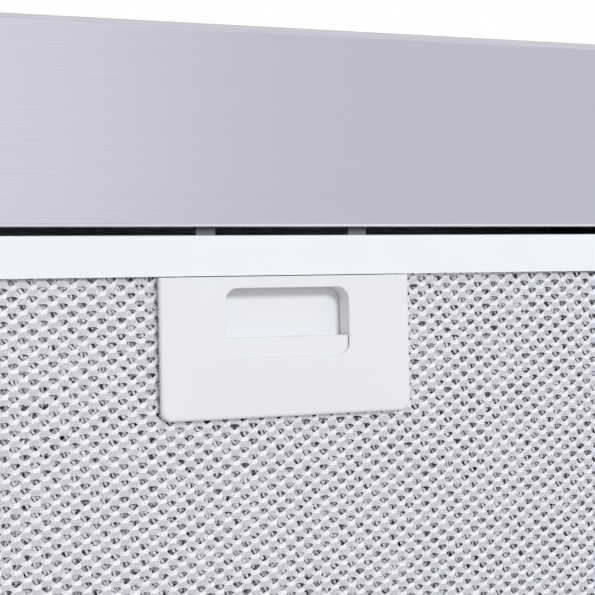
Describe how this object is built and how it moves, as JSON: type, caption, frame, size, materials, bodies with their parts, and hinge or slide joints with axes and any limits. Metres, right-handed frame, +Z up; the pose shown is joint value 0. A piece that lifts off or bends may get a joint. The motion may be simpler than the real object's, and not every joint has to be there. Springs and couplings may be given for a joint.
{
  "type": "under cabinet range hood",
  "caption": "Slim under cabinet range hood with a folded stainless shell, swing-down mesh filters with finger latches, twin blower, damper collar and push buttons.",
  "frame": {"origin": "centre of the flat top face, in the middle of the hanging screw pattern", "axes": "+Z up into the cabinet, -Y the front with the push buttons, X along the width"},
  "size_m": [0.759, 0.5051, 0.1712],
  "materials": {
    "steel_brushed": "fine horizontal brush",
    "steel_plated": "galvanised",
    "white_coat": "white powder coat",
    "mesh_aluminium": "expanded mesh",
    "white_plastic": "smooth moulded",
    "dark_plastic": "moulded",
    "button_plastic": "silver",
    "motor_paint": "black enamel",
    "shaft_steel": "ground steel",
    "screw_steel": "zinc plated",
    "lens_plastic": "frosted",
    "lamp_board": "white circuit board",
    "spring_steel": "spring wire",
    "gland_nylon": "nylon",
    "capacitor_can": "moulded case",
    "casing_plated": "galvanised sheet"
  },
  "bodies": {
    "hood": {"front_panel": "steel_brushed", "top_panel": "steel_brushed", "back_panel": "steel_brushed", "side_panel_left": "steel_brushed", "side_panel_right": "steel_brushed", "rear_pan": "steel_brushed", "centre_bar": "steel_brushed", "duct_collar": "steel_plated", "motor": "motor_paint", "motor_bracket": "steel_plated", "button_bezel": "dark_plastic", "switch_box": "dark_plastic", "junction_box": "steel_plated", "junction_cover": "steel_plated", "terminal_block": "white_plastic", "cable_gland": "gland_nylon", "capacitor": "capacitor_can", "capacitor_clip": "steel_plated", "blower_casing_left": "casing_plated", "blower_casing_right": "casing_plated", "lamp_bezel_left": "steel_brushed", "lamp_bezel_right": "steel_brushed", "lamp_lens_left": "lens_plastic", "lamp_lens_right": "lens_plastic", "lamp_board_left": "lamp_board", "lamp_board_right": "lamp_board", "bracket_screws": "screw_steel", "casing_screws": "screw_steel", "box_screws": "screw_steel", "clip_screw": "screw_steel", "collar_screws": "screw_steel"},
    "rotor": {"motor_shaft": "shaft_steel", "blower_wheel_left": "casing_plated", "blower_wheel_right": "casing_plated"},
    "damper": {"damper_flap": "steel_plated"},
    "button_off": {"button_off": "button_plastic"},
    "button_low": {"button_low": "button_plastic"},
    "button_medium": {"button_medium": "button_plastic"},
    "button_high": {"button_high": "button_plastic"},
    "button_light": {"button_light": "button_plastic"},
    "filter_left": {"filter_frame_left": "white_coat", "face_mesh_left": "mesh_aluminium", "core_mesh_left": "mesh_aluminium", "back_mesh_left": "mesh_aluminium", "latch_plate_left": "white_plastic", "latch_cover_left": "white_plastic", "latch_spring_left": "spring_steel"},
    "latch_left": {"latch_slider_left": "white_plastic"},
    "filter_right": {"filter_frame_right": "white_coat", "face_mesh_right": "mesh_aluminium", "core_mesh_right": "mesh_aluminium", "back_mesh_right": "mesh_aluminium", "latch_plate_right": "white_plastic", "latch_cover_right": "white_plastic", "latch_spring_right": "spring_steel"},
    "latch_right": {"latch_slider_right": "white_plastic"}
  },
  "joints": [
    {"name": "blower_spin", "type": "hinge", "parent": "hood", "child": "rotor", "pos_m": [0, 0.096, -0.06939], "axis": [1, 0, 0], "continuous": true},
    {"name": "damper_swing", "type": "hinge", "parent": "hood", "child": "damper", "pos_m": [0, 0.1528, 0.0058], "axis": [-1, 0, 0], "range_deg": [0, 80]},
    {"name": "press_off", "type": "slide", "parent": "hood", "child": "button_off", "axis": [0, 1, 0], "range_m": [0, 0.0025], "stiffness_N_per_m": 400, "springref_m": -0.002},
    {"name": "press_low", "type": "slide", "parent": "hood", "child": "button_low", "axis": [0, 1, 0], "range_m": [0, 0.0025], "stiffness_N_per_m": 400, "springref_m": -0.002},
    {"name": "press_medium", "type": "slide", "parent": "hood", "child": "button_medium", "axis": [0, 1, 0], "range_m": [0, 0.0025], "stiffness_N_per_m": 400, "springref_m": -0.002},
    {"name": "press_high", "type": "slide", "parent": "hood", "child": "button_high", "axis": [0, 1, 0], "range_m": [0, 0.0025], "stiffness_N_per_m": 400, "springref_m": -0.002},
    {"name": "press_light", "type": "slide", "parent": "hood", "child": "button_light", "axis": [0, 1, 0], "range_m": [0, 0.0025], "stiffness_N_per_m": 400, "springref_m": -0.002},
    {"name": "filter_swing_left", "type": "hinge", "parent": "hood", "child": "filter_left", "pos_m": [-0.1705, 0.0328, -0.129], "axis": [1, 0, 0], "range_deg": [0, 60]},
    {"name": "latch_pull_left", "type": "slide", "parent": "filter_left", "child": "latch_left", "axis": [0, 1, 0], "range_m": [0, 0.004], "stiffness_N_per_m": 350, "springref_m": -0.003, "deforming": ["latch_spring_left"]},
    {"name": "filter_swing_right", "type": "hinge", "parent": "hood", "child": "filter_right", "pos_m": [0.1705, 0.0328, -0.129], "axis": [1, 0, 0], "range_deg": [0, 60]},
    {"name": "latch_pull_right", "type": "slide", "parent": "filter_right", "child": "latch_right", "axis": [0, 1, 0], "range_m": [0, 0.004], "stiffness_N_per_m": 350, "springref_m": -0.003, "deforming": ["latch_spring_right"]}
  ]
}
